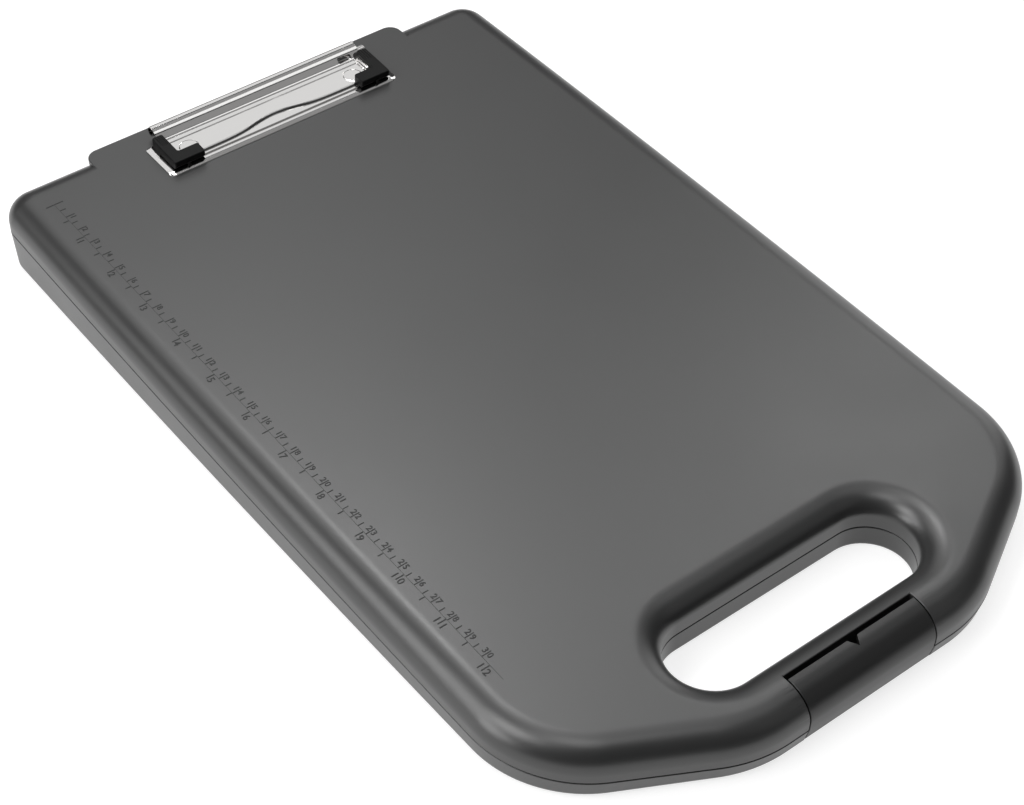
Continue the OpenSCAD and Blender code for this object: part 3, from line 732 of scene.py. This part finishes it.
def make_base_plate():
    """A flat sheet whose front and sides slope down, with two ears that carry the rod and two stops
    for the grips. Each ring's side and front insets and height are one corner of the edge's
    section.
    """
    x, y0, y1 = PLATE_W / 2, PLATE_FRONT_Y, PLATE_BACK_Y

    def ring(side, front, z):
        corners = np.array([[x - side, y1], [-x + side, y1],
                            [-x + side, y0 + front], [x - side, y0 + front]])
        arcs = rounded_corners(corners, [1.4, 1.4, 2.8 - side, 2.8 - side], 0, [8, 8, 12, 12])
        return flat_ring(np.concatenate(arcs), z)
    rings = [ring(*corner) for corner in (
        (0, 0, 0), (0.02, 0.03, 0.12), (0.05, 0.1, 0.33), (0.1, 0.85, 0.63),
        (2.3, 1.9, 0.95), (2.6, 2.5, PLATE_T))]
    ear = [[PLATE_BACK_Y - 3, PLATE_T / 2], [PLATE_BACK_Y, PLATE_T / 2]]
    ear += [[PIVOT_Y + LUG_R * math.cos(a), PIVOT_Z + LUG_R * math.sin(a)]
            for a in np.radians(range(-60, 121, 10))]
    ears = mirrored(lambda: prism(LUG_X - PART_GAP - LUG_T, LUG_X - PART_GAP, ear))
    ears += mirrored(lambda: block(56.5, 57.2, 182.0, 185.8, PLATE_T - 0.2, PLATE_T + 0.75))
    bore = rod(PIVOT_R, PIVOT_Y, PIVOT_Z, -PLATE_W, PLATE_W, 32)
    return combine("clip_plate", loft(rings), ("UNION", ears), ("DIFFERENCE", [bore]))


def make_grip(side):
    """A corner grip, in plan an L under one top plane that rises to the back, with ribs along its
    side arm, cut to fit over the sheet.
    """
    x0, x1, x2 = GRIP_IN, GRIP_HALF - GRIP_ARM_W, GRIP_HALF
    y0, y1, y2 = GRIP_FRONT_Y, GRIP_FRONT_Y + 6.5, GRIP_BACK_Y
    corners = np.array([[x0, y0], [x2, y0], [x2, y2], [x1, y2], [x1, y1], [x0, y1]])
    radii, steps = [0.9, 1.0, 0.9, 0.9, 1.0, 0.9], [6, 8, 8, 8, 8, 6]

    def top(y):
        return GRIP_TOP_Z + GRIP_RISE * (y - y0)

    def ring(inset, drop=None, z=None):
        outline = np.concatenate(rounded_corners(corners, radii, inset, steps))
        height = top(outline[:, 1]) - drop if z is None else np.full(len(outline), z)
        return np.column_stack([outline, height])
    rings = [ring(0.5 * (1 - s), 0.5 * (1 - c)) for s, c in quarter(5)]
    rings += [ring(0, z=1.6), ring(0.25, z=1.35)]
    ribs = [tube([[x, 180.5, top(180.5) - 0.35], [x, 182, top(182) - 0.1], [x, y2 - 0.6, top(y2) - 0.1],
                  [x, y2 - 0.1, top(y2) - 0.5]], 0.35, 12) for x in (52.4, 53.6, 54.8)]
    peg = loft([round_ring(49.6, y0 + 0.1, 0.8, z, 24) for z in (1.15, 3.3)])
    under = prism(x0 - 1, x2 + 1, [[y0 - 1, 0], [y0 + 1.3, 0], [y0 + 1.3, 1.3],
                                   [y0 - 0.1, 3.0], [y0 - 1, 3.0]])
    grip = combine("grip_" + ("right" if side > 0 else "left"), loft(rings),
                   ("DIFFERENCE", [under]), ("UNION", ribs + [peg]),
                   ("DIFFERENCE", [jaw_sheet(JAW_T + 0.02)]))
    if side < 0:
        grip.data.transform(Matrix.Diagonal((-1, 1, 1, 1)))
        grip.data.flip_normals()
    return grip


finish_piece(make_jaw(), "jaw", ["clip_jaw"], clip_chrome)
finish_piece(make_base_plate(), "lid", ["clip_base_plate"], clip_chrome)
for side, word in ((-1, "left"), (1, "right")):
    finish_piece(make_grip(side), "jaw", ["clip_grip_" + word], grip_plastic)


def make_spring(x, name):
    """A torsion spring: a leg up under the roll, a coil round the rod whose angle and X grow
    evenly, and a leg over the plate.
    """
    t = np.linspace(0, COIL_TURNS, COIL_TURNS * 24 + 1)
    angle = -math.pi / 2 - 2 * math.pi * t
    coil = np.stack([COIL_PITCH * (t - COIL_TURNS / 2), PIVOT_Y + COIL_R * np.cos(angle),
                     PIVOT_Z + COIL_R * np.sin(angle)], 1)
    end = COIL_PITCH * COIL_TURNS / 2
    head = [[-end, CURL_Y - 2.9, CURL_Z + 0.58], [-end, PIVOT_Y + 1.35, PIVOT_Z - 0.45]]
    tail = [[end, PIVOT_Y - 2.2, PLATE_T + 0.4], [end, PIVOT_Y - 7, PLATE_T + 0.4]]
    line = np.concatenate([head, coil, tail]) + [x, 0, 0]
    return tube(line, WIRE_R, 10, name)


for x, word in ((-SPRING_X, "left"), (SPRING_X, "right")):
    finish_piece(make_spring(x, "spring_" + word), "jaw", ["clip_spring_" + word],
                 spring_steel, 60)

for node, material in (("hinge_pin_left", pin_steel), ("hinge_pin_right", pin_steel),
                       ("latch_pin", pin_steel), ("clip_pivot_rod", pin_steel),
                       ("clip_rivets", rivet_steel), ("rivet_washers", rivet_steel)):
    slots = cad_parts[node].data.materials
    slots.clear()
    slots.append(material)


# The ruler
def stroke(x0, x1, y0, y1, rise=0.1):
    """A thin raised bar on the writing surface."""
    return block(x0, x1, y0, y1, -0.05, rise)


def numeral(text, height, x, y):
    """Digits as a thin raised solid, read from the left long side: their tops point to +X and they
    run towards the handle.
    """
    curve = bpy.data.curves.new("digits", "FONT")
    curve.body, curve.size, curve.extrude, curve.align_x = text, height / 0.72, 0.075, "CENTER"
    curve.offset = 0.05
    curve.resolution_u = 3
    maker = bpy.data.objects.new("digits", curve)
    bpy.context.scene.collection.objects.link(maker)
    depsgraph = bpy.context.evaluated_depsgraph_get()
    mesh = bpy.data.meshes.new_from_object(maker.evaluated_get(depsgraph))
    bpy.data.objects.remove(maker)
    mesh.transform(Matrix.Translation((x, y, 0.025)) @ Matrix.Rotation(-math.pi / 2, 4, "Z"))
    obj = bpy.data.objects.new("digits", mesh)
    bpy.context.scene.collection.objects.link(obj)
    return obj


RULER_X, RULER_START, INCH = -109.05, 181.57, 25.4


def number(value, height, x, y, one, two):
    """A number of one or two digits. Its digits' centres lie one past y, or two to each side of it.
    """
    digits = str(value)
    if len(digits) == 1:
        return [numeral(digits, height, x, y - one)]
    return [numeral(digits[0], height, x, y + two), numeral(digits[1], height, x, y - two)]


def make_ruler():
    """The moulded ruler: a base line, centimetre marks inside it and inch marks outside, each whole
    mark with its number.
    """
    parts = [stroke(RULER_X - 0.07, RULER_X + 0.07, RULER_START - 12.3 * INCH, RULER_START, 0.04)]
    for half in range(0, 61):
        y = RULER_START - 5 * half
        whole = half % 2 == 0
        parts.append(stroke(RULER_X + 0.2, RULER_X + (4.2 if whole else 2.7), y - 0.2, y + 0.2))
        if whole and half:
            parts += number(half // 2, 2.6, RULER_X + 1.55, y, 1.5, 1.45)
    for half in range(0, 25):
        y = RULER_START - INCH / 2 * half
        whole = half % 2 == 0
        parts.append(stroke(RULER_X - (3.8 if whole else 2.6), RULER_X - 0.2, y - 0.23, y + 0.23))
        if whole and half:
            parts += number(half // 2, 3.2, RULER_X - 4.2, y, 1.85, 1.85)
    chosen = {"active_object": parts[0], "object": parts[0], "selected_objects": parts,
              "selected_editable_objects": parts}
    with bpy.context.temp_override(**chosen):
        bpy.ops.object.join()
    parts[0].name = "ruler_marks_painted_shade"
    return parts[0]


# The marks take the darker material, whose tone is painted shade.
finish_piece(make_ruler(), "lid", [], mark_plastic_painted_shade)


# Camera, floor and light
IMAGE_W = 1024
FOCAL_PX = 2129.193
AZIMUTH, ELEVATION, ROLL = (math.radians(v) for v in (-38.866, 45.379, 1.661))
CAMERA_TARGET, CAMERA_REACH = (-15.764, -15.398, -15), 845.682


def add_camera():
    """Camera from the fitted view: it looks back along its azimuth and elevation at a target in the
    board frame, rolled a little.
    """
    back = np.array([math.sin(AZIMUTH) * math.cos(ELEVATION), -math.cos(AZIMUTH) * math.cos(ELEVATION),
                     math.sin(ELEVATION)])
    right = np.array([math.cos(AZIMUTH), math.sin(AZIMUTH), 0])
    up = np.cross(back, right)
    across = right * math.cos(ROLL) + up * math.sin(ROLL)
    above = up * math.cos(ROLL) - right * math.sin(ROLL)
    eye = np.array(CAMERA_TARGET) + back * CAMERA_REACH
    camera = bpy.data.objects.new("camera", bpy.data.cameras.new("camera"))
    bpy.context.scene.collection.objects.link(camera)
    board = Matrix(np.column_stack([across, above, back, eye]).tolist() + [[0, 0, 0, 1]])
    turn = Matrix.Rotation(TILT, 4, "X")
    place = ON_DESK @ board.to_translation()
    camera.matrix_world = Matrix.Translation(place) @ turn @ board.to_3x3().to_4x4()
    camera.data.sensor_fit = "HORIZONTAL"
    camera.data.sensor_width = 36
    camera.data.lens = FOCAL_PX * 36 / IMAGE_W
    camera.data.clip_start = 0.01
    bpy.context.scene.camera = camera


add_camera()


FLOOR_HALF = 3


def add_floor():
    """A pale floor: a soft white that keeps the object's shadow and adds a little white of its own
    for camera and mirror rays.
    """
    corners = FLOOR_HALF * np.array([[-1, -1, 0], [1, -1, 0], [1, 1, 0], [-1, 1, 0]], float)
    floor = put("floor", corners, [[0, 1, 2, 3]])
    f = Finish("floor_white")
    rays = f.node("LightPath", output="Is Camera Ray")
    glossy = Value(f, rays.socket.node.outputs["Is Glossy Ray"])
    clear = Value(f, rays.socket.node.outputs["Is Transmission Ray"])
    seen = f.maths("MINIMUM", rays + glossy + clear, 1.0)
    f.done(Base_Color=(0.35, 0.35, 0.35, 1), Roughness=0.9, Emission_Color=(1, 1, 1, 1),
           Emission_Strength=seen * 0.78)
    floor.data.materials.append(f.material)


add_floor()


LAMP_REACH = 2.0


def add_lamp(name, azimuth, elevation, size, power):
    """A soft disc lamp, LAMP_REACH metres from the origin at an azimuth from +X and an elevation in
    degrees, turned to face it.
    """
    lamp = bpy.data.objects.new(name, bpy.data.lights.new(name, "AREA"))
    bpy.context.scene.collection.objects.link(lamp)
    lamp.data.shape, lamp.data.size, lamp.data.energy = "DISK", size, power
    turn = (Matrix.Rotation(math.radians(azimuth), 4, "Z")
            @ Matrix.Rotation(math.radians(90 - elevation), 4, "Y"))
    lamp.matrix_world = turn @ Matrix.Translation((0, 0, LAMP_REACH))


def add_world():
    """An even surround that the camera sees as white. It lights the object only a little."""
    world = bpy.data.worlds.new("studio")
    bpy.context.scene.world = world
    world.use_nodes = True
    tree = world.node_tree
    shade = tree.nodes["Background"]
    shade.inputs["Color"].default_value = (1, 1, 1, 1)
    path = tree.nodes.new("ShaderNodeLightPath")
    seen = tree.nodes.new("ShaderNodeMath")
    seen.operation = "MULTIPLY_ADD"
    tree.links.new(path.outputs["Is Camera Ray"], seen.inputs[0])
    seen.inputs[1].default_value = 0.96
    seen.inputs[2].default_value = 0.04
    tree.links.new(seen.outputs[0], shade.inputs["Strength"])


add_world()
for lamp in (
        ("key_right", 30, 50, 0.35, 2.4),
        ("key_rear", 68, 61, 0.42, 7.0),
        ("top", 68, 78, 0.9, 4.0),
        ("rear_high", 98, 54, 0.9, 3.6),
        ("right_side", 20, 33, 0.9, 2.2),
        ("right_low", 20, 15, 1.0, 3.4),
        ("left_low", 172, 18, 0.9, 11.5),
        ("left_high", 175, 52, 0.9, 13.0),
        ("left_rear", 150, 32, 0.9, 8.0),
        ("near_top", 235, 76, 0.8, 6.0),
        ("clip_panel", 64, 40, 1.08, 2.3),
        ("clip_roll", -23, 63, 0.78, 1.6),
        ("clip_band", 26, 63, 0.8, 0.4),
        ("clip_slope", -60, 35, 1.3, 1.1)):
    add_lamp(*lamp)

bpy.context.scene.view_settings.view_transform = "Standard"
